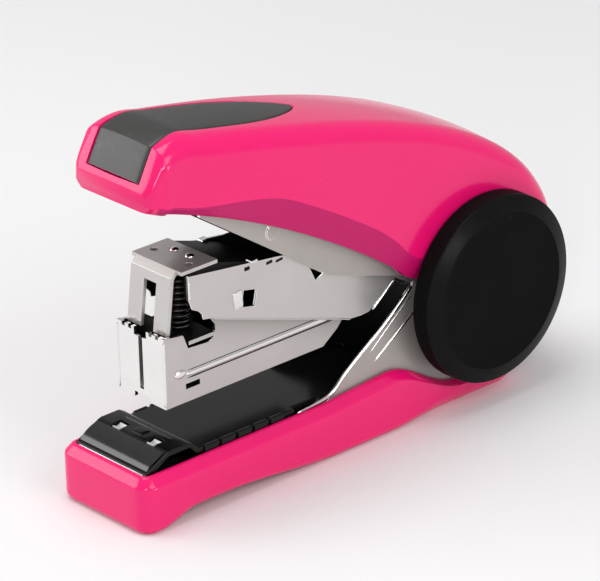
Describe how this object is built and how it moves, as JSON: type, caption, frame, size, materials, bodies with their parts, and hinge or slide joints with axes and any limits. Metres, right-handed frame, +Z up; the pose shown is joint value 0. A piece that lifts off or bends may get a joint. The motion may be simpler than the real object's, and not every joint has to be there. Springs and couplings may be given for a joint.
{
  "type": "stapler",
  "caption": "Compact flat-clinch desk stapler with a geared-down squeeze handle, round side caps, a sinking table and a steel magazine with a spring-fed pusher.",
  "frame": {"origin": "on the ground under the middle of the stapler's length and width", "axes": "+X from the staple end towards the round caps, +Y to the left seen along +X, +Z up"},
  "size_m": [0.0999, 0.0336, 0.0693],
  "materials": {
    "pink_plastic": "glossy moulded",
    "black_plastic": "satin moulded",
    "black_table": "glossy black",
    "grip_rubber": "matt soft",
    "foot_rubber": "matt",
    "plated_steel": "satin nickel plated",
    "bright_steel": "polished",
    "dark_steel": "black",
    "spring_steel": "drawn wire"
  },
  "bodies": {
    "base": {"base_shell": "pink_plastic", "base_frame": "plated_steel", "foot_pads": "foot_rubber", "base_screws": "bright_steel", "clincher": "bright_steel", "table_pin": "bright_steel", "table_spring": "spring_steel"},
    "table": {"table": "black_table"},
    "axle_group": {"main_axle": "bright_steel", "side_cap_left": "black_plastic", "side_cap_right": "black_plastic", "axle_spacer": "plated_steel", "lever_bracket": "plated_steel", "lever_pin": "bright_steel", "return_spring": "spring_steel"},
    "lever": {"power_lever": "dark_steel"},
    "handle": {"handle_shell": "pink_plastic", "grip_pad": "grip_rubber", "handle_channel": "plated_steel", "press_roller": "bright_steel", "roller_pin": "bright_steel"},
    "driver": {"driver_arm": "plated_steel", "driver_carrier": "dark_steel", "driver_head": "plated_steel", "driver_blade": "bright_steel", "head_rivets": "bright_steel", "arm_pin": "bright_steel", "driver_spring": "spring_steel"},
    "magazine": {"magazine": "plated_steel", "staple_rail": "plated_steel", "guide_rod": "bright_steel", "pusher_spring": "spring_steel"},
    "pusher": {"pusher": "dark_steel"}
  },
  "joints": [
    {"name": "load_lift", "type": "hinge", "parent": "base", "child": "axle_group", "pos_m": [0.0303, 0, 0.0225], "axis": [0, 1, 0], "range_deg": [0, 38]},
    {"name": "handle_press", "type": "hinge", "parent": "axle_group", "child": "handle", "pos_m": [0.0303, 0, 0.0225], "axis": [0, -1, 0], "range_deg": [0, 19], "stiffness_Nm_per_rad": 0.3, "springref_deg": -28.65},
    {"name": "driver_press", "type": "hinge", "parent": "axle_group", "child": "driver", "pos_m": [0.0303, 0, 0.0225], "axis": [0, -1, 0], "range_deg": [0, 9.01], "deforming": ["driver_spring", "return_spring"]},
    {"name": "lever_turn", "type": "hinge", "parent": "axle_group", "child": "lever", "pos_m": [0.023, 0, 0.033], "axis": [0, -1, 0], "range_deg": [0, 26.3]},
    {"name": "magazine_swing", "type": "hinge", "parent": "base", "child": "magazine", "pos_m": [0.0303, 0, 0.0225], "axis": [0, -1, 0], "range_deg": [0, 4.61]},
    {"name": "pusher_slide", "type": "slide", "parent": "magazine", "child": "pusher", "axis": [1, 0, 0], "range_m": [0, 0.022], "stiffness_N_per_m": 20, "springref_m": -0.02, "deforming": ["pusher_spring"]},
    {"name": "table_press", "type": "hinge", "parent": "base", "child": "table", "pos_m": [0.0115, 0, 0.0083], "axis": [0, -1, 0], "range_deg": [0, 1.9], "stiffness_Nm_per_rad": 0.5, "springref_deg": -5.73, "deforming": ["table_spring"]}
  ],
  "couplings": [
    {"joint": "driver_press", "follows": "handle_press", "ratio": 0.4737},
    {"joint": "lever_turn", "follows": "handle_press", "ratio": 1.38},
    {"joint": "magazine_swing", "follows": "handle_press", "ratio": 0.2421}
  ]
}
